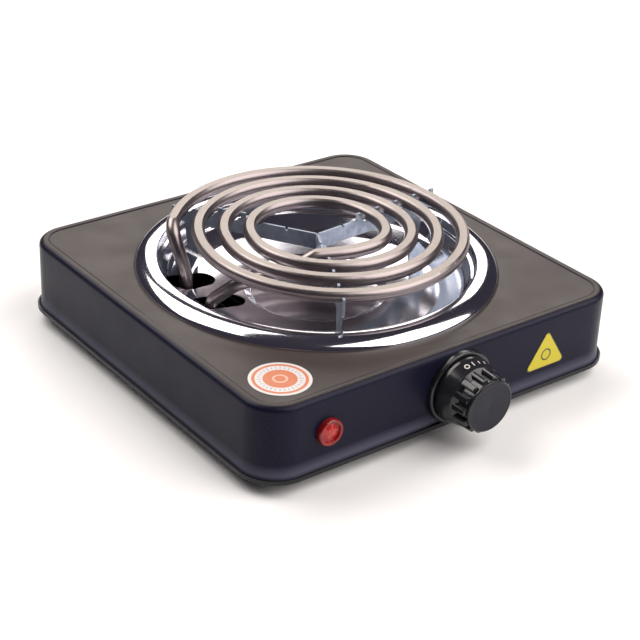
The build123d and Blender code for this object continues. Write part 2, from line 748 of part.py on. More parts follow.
# Internal wires
def wires():
    block_face = BLOCK_Y - 8
    pin_level = PIN_TIP_Z + 3
    wire(
        "live_wire",
        [
            (BLOCK_X + POLE_PITCH, block_face, CABLE_Z),
            (BLOCK_X + POLE_PITCH, 70, CABLE_Z),
            (50, 40, CABLE_Z),
            (50, -55, CABLE_Z),
            (22, -80, 21),
            (17, -92.4, 21),
        ],
    )
    wire(
        "neutral_wire",
        [
            (BLOCK_X, block_face, CABLE_Z),
            (BLOCK_X, 60, CABLE_Z),
            (-40, 56, CABLE_Z),
            (PIN_1[0], 52, pin_level),
            (PIN_1[0], PIN_1[1] + 3.3, pin_level),
        ],
    )
    wire(
        "earth_wire",
        [
            (BLOCK_X - POLE_PITCH, block_face, CABLE_Z),
            (BLOCK_X - POLE_PITCH, 74, CABLE_Z),
            (-12, 66, 11.5),
            (-22, 70, 10.3),
            (-22, EARTH_SPOT[1] - 12.1, 10.3),
        ],
        bend=4.0,
    )
    wire(
        "coil_feed_wire",
        [
            (-11, -92.4, 21),
            (-20, -80, 19),
            (-48, -52, CABLE_Z),
            (PIN_2[0], -24, pin_level),
            (PIN_2[0], PIN_2[1] - 3.3, pin_level),
        ],
    )
    wire(
        "lamp_feed_wire",
        [
            (-73, -93.9, LAMP_Z),
            (-73, -84, LAMP_Z),
            (-76, -50, pin_level),
            (-76, -4, pin_level),
            (-70, PIN_2[1], pin_level),
            (PIN_2[0] - 3.3, PIN_2[1], pin_level),
        ],
        bend=3.0,
    )
    wire(
        "lamp_return_wire",
        [
            (-77, -93.9, LAMP_Z),
            (-77, -86, LAMP_Z),
            (-84, -52, 17),
            (-84, 20, pin_level),
            (-74, PIN_1[1], pin_level),
            (PIN_1[0] - 3.3, PIN_1[1], pin_level),
        ],
        bend=3.0,
    )


# Labels
def labels():
    with BuildPart() as disc:
        with BuildSketch(Plane.XY.offset(DECK_Z)):
            with Locations(DISC_SPOT):
                Circle(DISC_R)
        extrude(amount=LABEL_SHEET)
    save(disc, "round_label")
    with BuildPart() as triangle:
        with BuildSketch(facing_front(-SIDE / 2, SIGN_X, SIGN_Z)) as outline:
            with BuildLine():
                Polyline(
                    (-SIGN_HALF, SIGN_LOW), (SIGN_HALF, SIGN_LOW), (0, SIGN_HIGH), close=True
                )
            make_face()
            fillet(outline.vertices(), SIGN_CORNER_R)
        extrude(amount=LABEL_SHEET)
    save(triangle, "triangle_label")


def main():
    os.makedirs("parts", exist_ok=True)
    housing()
    bottom_cover()
    for name, (x, y) in FOOT_SPOTS.items():
        foot(name, x, y)
    foot_screws()
    corner_brackets()
    drip_bowl()
    heating_coil()
    coil_end_parts()
    coil_end_bracket()
    small_screw("bracket_screw", *BRACKET_SPOT, 6)
    small_screw("earth_screw", *EARTH_SPOT, 7)
    for name, (angle, kept_tabs) in ARMS.items():
        support_arm(name, angle, kept_tabs)
    thermostat()
    thermostat_spindle()
    knob_collar()
    knob()
    pilot_lamp()
    cord_inlet()
    terminal_block()
    earth_tag()
    wires()
    labels()


main()
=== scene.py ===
"""Looks of the single-coil hot plate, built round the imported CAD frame.

Sizes are millimetres in the shared frame, and become metres where a mesh is made.
"""

import json
from math import atan2, cos, hypot, pi, radians, sin, tan

import bmesh
import bpy
from mathutils import Matrix, Vector


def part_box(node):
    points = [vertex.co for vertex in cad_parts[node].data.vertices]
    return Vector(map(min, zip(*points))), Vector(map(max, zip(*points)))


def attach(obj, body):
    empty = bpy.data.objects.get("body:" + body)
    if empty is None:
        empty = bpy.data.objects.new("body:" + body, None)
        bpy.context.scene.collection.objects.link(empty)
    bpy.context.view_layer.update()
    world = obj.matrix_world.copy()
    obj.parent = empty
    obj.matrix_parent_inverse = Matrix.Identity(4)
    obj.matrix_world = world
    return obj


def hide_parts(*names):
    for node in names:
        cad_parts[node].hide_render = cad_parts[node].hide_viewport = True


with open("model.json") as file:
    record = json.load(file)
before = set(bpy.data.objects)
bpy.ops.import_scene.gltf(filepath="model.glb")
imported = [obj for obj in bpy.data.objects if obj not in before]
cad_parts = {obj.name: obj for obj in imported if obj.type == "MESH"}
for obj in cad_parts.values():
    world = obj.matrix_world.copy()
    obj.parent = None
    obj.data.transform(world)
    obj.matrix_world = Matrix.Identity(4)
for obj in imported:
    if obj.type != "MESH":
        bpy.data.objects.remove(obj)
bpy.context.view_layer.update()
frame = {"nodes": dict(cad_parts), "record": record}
NODES = frame["nodes"]
MM = 0.001


def box_mm(node):
    """Lowest and highest corner of a CAD node, in millimetres."""
    low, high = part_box(node)
    return low / MM, high / MM


# Driving sizes, read from the frame
SHELL_LOW, SHELL_HIGH = box_mm("housing_shell")
BOWL_HIGH = box_mm("drip_bowl")[1]
KNOB_LOW, KNOB_HIGH = box_mm("knob")
COLLAR_LOW, COLLAR_HIGH = box_mm("knob_collar")
LENS_LOW, LENS_HIGH = box_mm("pilot_lamp_lens")
DISC_LOW, DISC_HIGH = box_mm("round_label")
SIGN_LOW, SIGN_HIGH = box_mm("triangle_label")

TOP_Z = SHELL_HIGH.z
DECK_Z = DISC_LOW.z
FLARE_OUT = 1.3
WALL = SHELL_HIGH.x - FLARE_OUT  # half of the housing's width at its walls
SHEET = 0.8
CORNER_R = 18.5
FLARE_TOP = 15.5
BOWL_HOLE_R = 87.0

# Smallest grain of a surface, in bumps per metre
ORANGE_PEEL = 1400
DRAWN_GRAIN = 1800
POLISH_RINGS = 3500.0


# Shader graphs

def graph(name):
    """A new material, its node tree and its principled shader."""
    material = bpy.data.materials.new(name)
    material.use_nodes = True
    tree = material.node_tree
    return material, tree, tree.nodes["Principled BSDF"]


def node(tree, kind, inputs=(), **settings):
    """A shader node; each input is another node's output or a value."""
    made = tree.nodes.new(kind)
    for key, value in settings.items():
        setattr(made, key, value)
    for key, value in dict(inputs).items():
        if isinstance(value, bpy.types.NodeSocket):
            tree.links.new(value, made.inputs[key])
        else:
            made.inputs[key].default_value = value
    return made


def coordinates(tree):
    """Object coordinates in metres."""
    place = node(tree, "ShaderNodeTexCoord")
    return node(tree, "ShaderNodeMapping", {"Vector": place.outputs["Object"]}).outputs["Vector"]


def noise(tree, per_metre, detail=4.0, roughness=0.55):
    """Noise of so many features per metre."""
    return node(
        tree,
        "ShaderNodeTexNoise",
        {
            "Vector": coordinates(tree),
            "Scale": per_metre,
            "Detail": detail,
            "Roughness": roughness,
        },
    ).outputs["Fac"]


def ramp(tree, factor, stops):
    """Colour ramp; each stop is (position, colour or grey level)."""
    made = node(tree, "ShaderNodeValToRGB", {"Fac": factor})
    marks = made.color_ramp.elements
    while len(marks) < len(stops):
        marks.new(0.5)
    for mark, (position, value) in zip(marks, stops):
        mark.position = position
        mark.color = (*value, 1) if isinstance(value, tuple) else (value, value, value, 1)
    return made.outputs["Color"]


def mix(tree, factor, first, second, blend="MIX"):
    """Colour mix; each colour is a socket or a tuple."""
    made = node(tree, "ShaderNodeMix", data_type="RGBA", blend_type=blend)
    for socket, value in (("Factor", factor), ("A", first), ("B", second)):
        kind = "VALUE" if socket == "Factor" else "RGBA"
        target = [s for s in made.inputs if s.name == socket and s.type == kind][0]
        if isinstance(value, bpy.types.NodeSocket):
            tree.links.new(value, target)
        else:
            target.default_value = (*value, 1) if isinstance(value, tuple) else value
    return [s for s in made.outputs if s.type == "RGBA"][0]


def bump(tree, shader, height, distance, strength):
    """Relief of so many metres on the shader's normal."""
    made = node(
        tree,
        "ShaderNodeBump",
        {"Height": height, "Distance": distance, "Strength": strength},
    )
    tree.links.new(made.outputs["Normal"], shader.inputs["Normal"])


def settle(shader, **values):
    """Constants on the shader's own sockets."""
    for key, value in values.items():
        socket = shader.inputs[key.replace("_", " ")]
        socket.default_value = (*value, 1) if isinstance(value, tuple) else value


def link(tree, shader, **sources):
    """Drives the shader's own sockets from outputs."""
    for key, source in sources.items():
        tree.links.new(source, shader.inputs[key.replace("_", " ")])


def spread(tree, source, low, high, start=0.3, end=0.7):
    """Grey level that goes from low to high while source goes from start to end."""
    return ramp(tree, source, [(start, low), (end, high)])


def upward(tree, low, high):
    """1 where the normal's height is over high, 0 where it is under low."""
    facing = node(tree, "ShaderNodeNewGeometry").outputs["Normal"]
    up = node(tree, "ShaderNodeSeparateXYZ", {"Vector": facing}).outputs["Z"]
    return node(
        tree, "ShaderNodeMapRange", {"Value": up, "From Min": low, "From Max": high}
    ).outputs["Result"]


def paint():
    """Satin stove enamel with fine orange peel and dust specks; light and shade are painted by facing: a
    lit warm grey top, and shaded blue-black sides and rolled edge.
    """
    material, tree, shader = graph("stove_enamel")
    settle(shader, Specular_IOR_Level=0.14)
    cloud = noise(tree, 14, 3)
    speck = noise(tree, 900, 2)
    # Painted light on the upward faces, and painted shade on the sides and rolled edge
    top = mix(tree, cloud, (0.058, 0.046, 0.042), (0.043, 0.035, 0.0325))
    shaded_side = mix(tree, cloud, (0.004, 0.004, 0.014), (0.007, 0.007, 0.019))
    place = node(tree, "ShaderNodeTexCoord").outputs["Object"]
    height = node(tree, "ShaderNodeSeparateXYZ", {"Vector": place}).outputs["Z"]
    flare_low, flare_high = 0.0078, 0.0178
    along = node(
        tree,
        "ShaderNodeMapRange",
        {"Value": height, "From Min": flare_low, "From Max": flare_high},
    )
    # Painted highlight along the concave flare, where it tilts up towards the lights
    flare_painted_highlight = ramp(tree, along.outputs["Result"], [(0.0, 0.15), (0.28, 1.0), (0.80, 0.0)])
    shaded_side = mix(tree, flare_painted_highlight, shaded_side, (0.068, 0.068, 0.100))
    # level: facing mask that lays the painted light on the top, the painted shade elsewhere, and the tint
    # of the reflections
    level = upward(tree, 0.93, 0.995)
    sheen = mix(tree, level, (0.86, 0.86, 1.0), (1.0, 0.96, 0.94))
    colour = mix(tree, level, shaded_side, top)
    colour = mix(tree, spread(tree, speck, 0.0, 0.05, 0.55, 0.80), colour, (0.20, 0.18, 0.18))
    gloss = spread(tree, noise(tree, 60, 4), 0.30, 0.40)
    link(tree, shader, Base_Color=colour, Specular_Tint=sheen, Roughness=gloss)
    bump(tree, shader, noise(tree, ORANGE_PEEL, 2), 0.00008, 0.25)
    return material


def black_enamel():
    """Glossy black enamel of the bottom cover."""
    material, tree, shader = graph("cover_enamel")
    settle(shader, Specular_IOR_Level=0.35)
    colour = mix(tree, noise(tree, 40, 3), (0.003, 0.003, 0.005), (0.007, 0.007, 0.010))
    gloss = spread(tree, noise(tree, 120, 4), 0.26, 0.40)
    link(tree, shader, Base_Color=colour, Roughness=gloss)
    bump(tree, shader, noise(tree, ORANGE_PEEL, 2), 0.00008, 0.2)
    return material


def chrome():
    """Bright plating with faint circular polishing marks and finger haze."""
    material, tree, shader = graph("bright_chrome")
    settle(shader, Metallic=1.0)
    haze = noise(tree, 25, 4)
    colour = mix(tree, haze, (0.62, 0.615, 0.67), (0.74, 0.735, 0.78))
    place = node(tree, "ShaderNodeTexCoord").outputs["Object"]
    apart = node(tree, "ShaderNodeSeparateXYZ", {"Vector": place})
    sideways = {"X": apart.outputs["X"], "Y": apart.outputs["Y"]}
    flat = node(tree, "ShaderNodeCombineXYZ", sideways)
    reach = node(tree, "ShaderNodeVectorMath", {0: flat.outputs[0]}, operation="LENGTH")
    rings = node(
        tree,
        "ShaderNodeTexNoise",
        {"W": reach.outputs["Value"], "Scale": POLISH_RINGS, "Detail": 2.0},
        noise_dimensions="1D",
    ).outputs["Fac"]
    gloss = spread(tree, haze, 0.075, 0.125, 0.35, 0.75)
    link(tree, shader, Base_Color=colour, Roughness=gloss)
    bump(tree, shader, rings, 0.00002, 0.10)
    return material


def coil_metal():
    """Oxidised tube: mauve-grey flanks and a paler rolled top that is a painted highlight, with drawn
    grain and heat tint.
    """
    material, tree, shader = graph("coil_tube_metal")
    settle(shader, Metallic=1.0)
    grain = noise(tree, 500, 5, 0.7)
    tint = noise(tree, 22, 3)
    flank = mix(tree, tint, (0.21, 0.18, 0.19), (0.30, 0.26, 0.265))
    # Paler top colour: painted highlight on the upward faces of the tube
    crown = mix(tree, tint, (0.25, 0.22, 0.20), (0.34, 0.30, 0.27))
    colour = mix(tree, upward(tree, 0.55, 1.0), flank, crown)
    colour = mix(tree, spread(tree, grain, 0.25, 0.0, 0.35, 0.65), colour, (0.20, 0.17, 0.17))
    link(tree, shader, Base_Color=colour, Roughness=spread(tree, grain, 0.29, 0.38))
    bump(tree, shader, noise(tree, DRAWN_GRAIN, 3), 0.00005, 0.3)
    return material


def galvanised():
    """Zinc-coated sheet: blue-grey with a fine spangle."""
    material, tree, shader = graph("galvanised_sheet")
    settle(shader, Metallic=0.85)
    spangle = node(tree, "ShaderNodeTexVoronoi", {"Vector": coordinates(tree), "Scale": 420.0})
    tones = [(0.0, (0.20, 0.235, 0.30)), (1.0, (0.36, 0.41, 0.48))]
    tone = ramp(tree, spangle.outputs["Color"], tones)
    colour = mix(tree, noise(tree, 200, 4), tone, (0.28, 0.325, 0.40))
    gloss = spread(tree, noise(tree, 350, 3), 0.34, 0.50)
    link(tree, shader, Base_Color=colour, Roughness=gloss)
    bump(tree, shader, noise(tree, 900, 3), 0.00006, 0.25)
    return material


def metal(name, dark, light, low, high):
    """A plain worked metal with scuffs."""
    material, tree, shader = graph(name)
    settle(shader, Metallic=1.0)
    colour = mix(tree, noise(tree, 300, 4), dark, light)
    link(tree, shader, Base_Color=colour, Roughness=spread(tree, noise(tree, 500, 3), low, high))
    bump(tree, shader, noise(tree, 1200, 2), 0.00004, 0.2)
    return material


def plastic(name, dark, light, low, high, grain=1500, depth=0.00004, shine=0.5):
    """Moulded plastic, rubber or sleeve with fine grain."""
    material, tree, shader = graph(name)
    settle(shader, Specular_IOR_Level=shine)
    colour = mix(tree, noise(tree, 120, 3), dark, light)
    link(tree, shader, Base_Color=colour, Roughness=spread(tree, noise(tree, 260, 4), low, high))
    bump(tree, shader, noise(tree, grain, 2), depth, 0.3)
    return material


def red_lens(name, dark, light):
    """Red polycarbonate, partly clear."""
    material, tree, shader = graph(name)
    settle(shader, Transmission_Weight=0.25, IOR=1.49)
    colour = mix(tree, noise(tree, 300, 3), dark, light)
    link(tree, shader, Base_Color=colour, Roughness=spread(tree, noise(tree, 400, 2), 0.06, 0.14))
    bump(tree, shader, noise(tree, 500, 2), 0.00004, 0.2)
    return material


def print_ink(name, dark, light):
    """Printed foil with slight mottling."""
    return plastic(name, dark, light, 0.30, 0.42, 900, 0.00003)


# Slot: maker, name, dark colour, light colour, lowest and highest roughness, and what else it takes
FINISHES = {
    "steel": (metal, "turned_steel", (0.50, 0.50, 0.51), (0.66, 0.66, 0.66), 0.22, 0.36),
    "zinc_screw": (metal, "zinc_plate", (0.55, 0.56, 0.58), (0.72, 0.72, 0.70), 0.24, 0.40),
    "brass": (metal, "brass_stampings", (0.58, 0.42, 0.18), (0.76, 0.58, 0.28), 0.22, 0.38),
    "ceramic_white": (plastic, "steatite", (0.66, 0.63, 0.56), (0.80, 0.77, 0.70), 0.45, 0.60),
    "knob_black": (plastic, "knob_gloss", (0.010, 0.010, 0.012), (0.016, 0.016, 0.020), 0.14, 0.22),
    "collar_black": (plastic, "collar_gloss", (0.009, 0.009, 0.011), (0.014, 0.014, 0.017), 0.16, 0.26),
    "lens_red": (red_lens, "red_lens", (0.24, 0.006, 0.006), (0.34, 0.012, 0.010)),
    "lamp_glass": (plastic, "lamp_glass", (0.75, 0.45, 0.30), (0.85, 0.55, 0.40), 0.05, 0.12),
    "plastic_black": (plastic, "moulded_black", (0.012, 0.012, 0.013), (0.022, 0.022, 0.024), 0.38, 0.52),
    "rubber_black": (plastic, "foot_rubber", (0.012, 0.012, 0.012), (0.028, 0.027, 0.026), 0.60, 0.80,
                     900, 0.0001),
    "wire_white": (plastic, "glass_sleeve", (0.62, 0.60, 0.54), (0.76, 0.74, 0.68), 0.55, 0.75,
                   2500, 0.0001),
    "wire_green": (plastic, "earth_sleeve", (0.10, 0.26, 0.04), (0.42, 0.46, 0.06), 0.55, 0.75,
                   2500, 0.0001),
    "label_orange": (print_ink, "ink_orange", (0.48, 0.135, 0.050), (0.54, 0.165, 0.068)),
    "label_yellow": (print_ink, "ink_yellow", (0.50, 0.42, 0.006), (0.58, 0.49, 0.010)),
}
MATERIALS = {
    "shell_paint": paint(),
    "cover_steel": black_enamel(),
    "chrome": chrome(),
    "coil_tube": coil_metal(),
    "galvanised": galvanised(),
    **{slot: maker(*values) for slot, (maker, *values) in FINISHES.items()},
}
FACE_SATIN = plastic(
    "knob_face_satin", (0.005, 0.005, 0.013), (0.009, 0.009, 0.019), 0.40, 0.48, shine=0.28
)
# Lighter copy of the lens red for the dome: painted light
LIT_DOME_RED = red_lens("lit_dome_red", (0.44, 0.020, 0.020), (0.56, 0.036, 0.030))
INK_WHITE = print_ink("ink_white", (0.56, 0.52, 0.51), (0.64, 0.60, 0.59))
INK_PALE = print_ink("ink_pale", (0.62, 0.34, 0.25), (0.70, 0.42, 0.32))
INK_DARK = print_ink("ink_dark", (0.045, 0.035, 0.010), (0.075, 0.060, 0.018))
INK_GREY = print_ink("ink_grey", (0.25, 0.25, 0.30), (0.36, 0.36, 0.42))


# Meshes
MERGE = 1e-7  # metres


def clean(mesh, merge=None):
    """Merges points closer than merge, and turns every face outwards."""
    work = bmesh.new()
    work.from_mesh(mesh)
    if merge is not None:
        bmesh.ops.remove_doubles(work, verts=work.verts, dist=merge)
    bmesh.ops.recalc_face_normals(work, faces=work.faces)
    work.to_mesh(mesh)
    work.free()


def shade(mesh, angle):
    """Smooth shading, with edges sharper than angle kept."""
    for polygon in mesh.polygons:
        polygon.use_smooth = True
    mesh.set_sharp_from_angle(angle=radians(angle))


def piece(name, shape, materials, body, slot, replaces=(), angle=35.0, place=None, tints=None):
    """A mesh from a shape's millimetre points and its faces, riding on its body.

    tints gives each face's material number.
    """
    points, faces = shape
    mesh = bpy.data.meshes.new(name)
    mesh.from_pydata([Vector(p) * MM for p in points], [], faces)
    if place is not None:
        mesh.transform(place)
    if tints is not None:
        mesh.polygons.foreach_set("material_index", tints)
    made = bpy.data.objects.new(name, mesh)
    bpy.context.scene.collection.objects.link(made)
    for material in materials:
        mesh.materials.append(material)
    clean(mesh, merge=MERGE)
    shade(mesh, angle)
    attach(made, body)
    if replaces:
        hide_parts(*replaces)
    return made


def rings_to_faces(rows, count, closed=False):
    """Quads between rows of count points each."""
    faces = []
    last = rows if closed else rows - 1
    for row in range(last):
        above = (row + 1) % rows
        for i in range(count):
            j = (i + 1) % count
            faces.append((row * count + i, row * count + j, above * count + j, above * count + i))
    return faces


def lathe(profile, steps=192):
    """Solid of revolution about Z from a closed profile of (radius, height)."""
    points = []
    for radius, height in profile:
        for i in range(steps):
            turn = 2 * pi * i / steps
            points.append((radius * cos(turn), radius * sin(turn), height))
    return points, rings_to_faces(len(profile), steps, closed=True)


def arc(cx, cy, radius_x, radius_y, start, end, steps):
    """Points of an elliptical arc, angles in degrees."""
    return [
        (cx + radius_x * cos(radians(start + (end - start) * i / steps)),
         cy + radius_y * sin(radians(start + (end - start) * i / steps)))
        for i in range(steps + 1)
    ]


def rounded(points, radii, steps=6):
    """An open outline whose inner corners are rounded by the given radii."""
    out = [points[0]]
    for before, corner, after, radius in zip(points, points[1:], points[2:], radii):
        a, c, b = Vector(before), Vector(corner), Vector(after)
        u, v = (a - c).normalized(), (b - c).normalized()
        bend = u.angle(v)
        reach = min(radius / tan(bend / 2), 0.48 * (a - c).length, 0.48 * (b - c).length)
        for i in range(steps + 1):
            t = i / steps
            spot = c + u * reach * (1 - t) ** 2 + v * reach * t**2
            out.append(tuple(spot))
    out.append(points[-1])
    return out


def offset_outline(points, amount):
    """The outline moved sideways, to the right of its direction."""
    moved = []
    for i, spot in enumerate(points):
        before = Vector(points[max(i - 1, 0)])
        after = Vector(points[min(i + 1, len(points) - 1)])
        along = (after - before).normalized()
        moved.append((spot[0] + along.y * amount, spot[1] - along.x * amount))
    return moved


def facing_front(x, y, z):
    """Matrix that puts a piece drawn in XY, rising along +Z, on the front wall, in metres."""
    return Matrix.Translation(Vector((x, y, z)) * MM) @ Matrix.Rotation(radians(90), 4, "X")


# Housing
CORNER_STEPS = 14
SIDE_STEPS = 24
BORDER = 5.9  # from the walls' face in to the sunken deck
EDGE_R = 3.0
EDGE_INNER_R = 2.2
WALL_MID_Z = 30.0
FLARE_STEPS = 12
FLARE_CURVE = 2.4


def rounded_square(half, corner):
    """Loop of points round a rounded square."""
    loop = []
    for quarter in range(4):
        turn = quarter * 90
        spin = Matrix.Rotation(radians(turn), 2)
        inner = half - corner
        for i in range(CORNER_STEPS):
            a = radians(90 * i / CORNER_STEPS)
            loop.append(spin @ Vector((inner + corner * cos(a), inner + corner * sin(a))))
        for i in range(SIDE_STEPS):
            loop.append(spin @ Vector((inner - 2 * inner * i / SIDE_STEPS, half)))
    return loop


def housing():
    """Pressed shell: bowl opening, sunken deck, border, rounded edge, walls and concave flare."""
    edge = arc(-EDGE_R, TOP_Z - EDGE_R, EDGE_R, EDGE_R, 90, 0, 10)
    edge_inside = arc(-EDGE_R, TOP_Z - EDGE_R - 0.4, EDGE_INNER_R, EDGE_INNER_R, 0, 90, 6)
    flare = []
    for i in range(1, FLARE_STEPS + 1):
        t = i / FLARE_STEPS
        flare.append((FLARE_OUT * t**FLARE_CURVE, FLARE_TOP - (FLARE_TOP - SHELL_LOW.z) * t))
    step = [(0.0, DECK_Z), (0.35, DECK_Z + 0.03), (0.7, DECK_Z + 0.2), (1.1, TOP_Z - 0.03), (1.5, TOP_Z)]
    outside = [(x - BORDER, z) for x, z in step]
    outside += [*edge, (0.0, WALL_MID_Z), (0.0, FLARE_TOP), *flare]
    inside = [(x - SHEET, z) for x, z in reversed(flare)]
    inside += [(-SHEET, FLARE_TOP), (-SHEET, WALL_MID_Z), *edge_inside]
    loops = []
    for depth, height in [*outside, *inside]:
        corner = max(CORNER_R + depth, 1.0)
        loops.append([(p.x, p.y, height) for p in rounded_square(WALL + depth, corner)])
    rim = rounded_square(WALL, CORNER_R)
    low = DECK_Z - SHEET
    for height, share in ((low, 0.5), (low, 0.0), (DECK_Z, 0.0), (DECK_Z, 0.5)):
        loop = []
        for p in rim:
            turn = atan2(p.y, p.x)
            circle = Vector((cos(turn), sin(turn))) * BOWL_HOLE_R
            square = p * (WALL - BORDER) / WALL
            spot = circle.lerp(square, share)
            loop.append((spot.x, spot.y, height))
        loops.append(loop)
    points = [p for loop in loops for p in loop]
    shell = points, rings_to_faces(len(loops), len(rim), closed=True)
    paints = [MATERIALS["shell_paint"]]
    piece("housing", shell, paints, "base", "shell_paint", ("housing_shell",), angle=50)


# Drip bowl
SLOT_R = 7.0
SLOT_HALF = 7.0
SLOTS = ((-54.5, 35.0, 5.0), (-53.5, 10.5, -8.0))  # middle and turn of each
CUTTER_HALF = 9.0
CUTTER_Z = DECK_Z - 11
CREST_R = 84.6
WELL_R = 34.0
WELL_DEPTH = 16.5
BOWL_SHEET = 0.6
AXIS_R = 0.02  # stands for the axis in a closed profile


def slot_cutter(x, y, turn):
    """Upright prism with a slot's outline, for a boolean."""
    outline = [(SLOT_HALF + px, py) for px, py in arc(0, 0, SLOT_R, SLOT_R, -90, 90, 16)]
    outline += [(-SLOT_HALF + px, py) for px, py in arc(0, 0, SLOT_R, SLOT_R, 90, 270, 16)]
    points = [(px, py, z) for z in (-CUTTER_HALF, CUTTER_HALF) for px, py in outline]
    count = len(outline)
    faces = rings_to_faces(2, count)
    faces += [tuple(range(count)), tuple(range(2 * count - 1, count - 1, -1))]
    mesh = bpy.data.meshes.new("slot_cutter")
    mesh.from_pydata([Vector(p) * MM for p in points], [], faces)
    spot = Matrix.Translation(Vector((x, y, CUTTER_Z)) * MM)
    mesh.transform(spot @ Matrix.Rotation(radians(turn), 4, "Z"))
    cutter = bpy.data.objects.new("slot_cutter", mesh)
    bpy.context.scene.collection.objects.link(cutter)
    clean(mesh)
    return cutter


def cut(target, cutters):
    """Cuts the cutters out of target and removes them."""
    for cutter in cutters:
        step = target.modifiers.new("cut", "BOOLEAN")
        step.object = cutter
        step.operation = "DIFFERENCE"
        step.solver = "EXACT"
    graph_now = bpy.context.evaluated_depsgraph_get()
    mesh = bpy.data.meshes.new_from_object(target.evaluated_get(graph_now))
    target.modifiers.clear()
    target.data = mesh
    for cutter in cutters:
        bpy.data.objects.remove(cutter)
    shade(mesh, 35)


def bowl():
    """Spun dish with a half-round rim."""
    crest = BOWL_HIGH.z
    floor = DECK_Z - WELL_DEPTH
    flank = arc(CREST_R, DECK_Z, BOWL_HIGH.x - CREST_R, crest - DECK_Z, 0, 90, 20)
    corners = [
        flank[-1],
        (CREST_R - 2.0, crest),
        (CREST_R - 2.9, DECK_Z + 1.0),
        (CREST_R - 5.0, DECK_Z + 0.3),
        (CREST_R - 7.4, DECK_Z - 7.5),
        (CREST_R - 20.0, DECK_Z - 11.5),
        (WELL_R + 4.0, DECK_Z - 14.0),
        (WELL_R, floor),
        (AXIS_R, floor),
    ]
    dish = rounded(corners, (0.9, 0.9, 0.9, 4.0, 6.0, 2.0, 2.0), 8)
    upper = [*flank, *dish[1:]]
    lower = [(max(r, AXIS_R), z) for r, z in offset_outline(upper, -BOWL_SHEET)]
    lower[-1] = (AXIS_R, floor - BOWL_SHEET)
    shape = lathe([*upper, *reversed(lower)], 256)
    made = piece("bowl", shape, [MATERIALS["chrome"]], "base", "chrome", ("drip_bowl",), angle=40)
    cut(made, [slot_cutter(*slot) for slot in SLOTS])


# Knob, collar, lens and labels
KNOB_DEPTH = KNOB_HIGH.y - KNOB_LOW.y
KNOB_CORNERS = (0.2, 0.4, 0.4, 0.6, 1.4, 0.9, 0.9, 0.4, 0.4, 0.4, 0.3, 0.8, 0.1)
FACE_R = 12.9
MARK_OUT = 16.45
MARK_DEPTH = 5.6
SKIRT_LEAN = -76.4
RIB_COUNT = 14
RIB_SECTION = ((-1.75, 12.4), (-1.75, 14.6), (-1.35, 15.25), (-0.6, 15.45),
               (0.6, 15.45), (1.35, 15.25), (1.75, 14.6), (1.75, 12.4))
RIB_ROOT = 13.0  # section points beyond this radius follow the rib's steps


def knob():
    """Crown knob: skirt with a ring-shaped zero and ticks, grip ribs and a satin face."""
    centre = (KNOB_LOW + KNOB_HIGH) / 2
    skirt = [(3.4, 0.3), (12.0, 0.3), (16.9, 0.0), (17.4, 0.6), (17.3, 2.2), (15.6, 9.2),
             (14.6, 10.2), (13.1, 11.4)]
    crown = [(13.1, -1.6), (13.5, -1.2), (13.3, -0.25), (12.7, 0.0), (11.4, -0.15), (AXIS_R, -0.25)]
    corners = [*skirt, *((r, KNOB_DEPTH + drop) for r, drop in crown), (AXIS_R, 0.3)]
    points, faces = lathe(rounded(corners, KNOB_CORNERS, 5)[:-1], 168)
    place = facing_front(centre.x, KNOB_HIGH.y, centre.z)
    tints = []
    for face in faces:
        middle = sum((Vector(points[i]) for i in face), Vector()) / len(face)
        satin = middle.z > KNOB_DEPTH - 0.6 and hypot(middle.x, middle.y) < FACE_R
        tints.append(1 if satin else 0)
    gloss = MATERIALS["knob_black"]
    shared = ("knob", "knob_black")
    piece("knob_body", (points, faces), [gloss, FACE_SATIN], *shared, ("knob",), 40, place, tints)
    piece("knob_ribs", grip_ribs(), [gloss], *shared, (), 30, place)
    tall, short, zero = flat_bar(0.55, 2.6, 0.1), flat_bar(0.55, 1.8, 0.1), ring(0.85, 1.4, 0, 0.1, 32)
    for turn, mark in ((0, tall), (-13, short), (-26, short), (13, zero)):
        spin = Matrix.Rotation(radians(turn), 4, "Z")
        out = Matrix.Translation(Vector((0, MARK_OUT, MARK_DEPTH)) * MM)
        lean = Matrix.Rotation(radians(SKIRT_LEAN), 4, "X")
        piece(f"knob_mark_{turn + 26}", mark, [INK_WHITE], *shared, (), 30, place @ (spin @ out) @ lean)


def grip_ribs():
    """Raised grip bars round the crown, each with rounded long edges."""
    points, faces = [], []
    levels = [(4.2, 0.35), (4.6, 0.0), (KNOB_DEPTH - 2.6, -0.55), (KNOB_DEPTH - 2.2, -0.95),
              (KNOB_DEPTH - 2.1, -1.6)]
    size = len(RIB_SECTION)
    for rib in range(RIB_COUNT):
        turn = 2 * pi * (rib + 0.5) / RIB_COUNT + pi / 2
        start = len(points)
        for level, lift in levels:
            for across, out in RIB_SECTION:
                reach = out + (lift if out > RIB_ROOT else 0)
                points.append((reach * cos(turn) - across * sin(turn),
                               reach * sin(turn) + across * cos(turn), level))
        faces += [tuple(start + i for i in face) for face in rings_to_faces(len(levels), size)]
        faces.append(tuple(start + i for i in reversed(range(size))))
        faces.append(tuple(start + (len(levels) - 1) * size + i for i in range(size)))
    return points, faces


def flat_bar(width, length, thick):
    """Small bar lying in XY."""
    w, h = width / 2, length / 2
    points = [(x, y, z) for z in (0, thick) for x, y in ((-w, -h), (w, -h), (w, h), (-w, h))]
    return points, [(3, 2, 1, 0), (4, 5, 6, 7), (0, 1, 5, 4), (1, 2, 6, 5), (2, 3, 7, 6), (3, 0, 4, 7)]


COLLAR_BORE_R = 4.0
COLLAR_RELIEF = 2.4  # depth of the part cut away over the flare


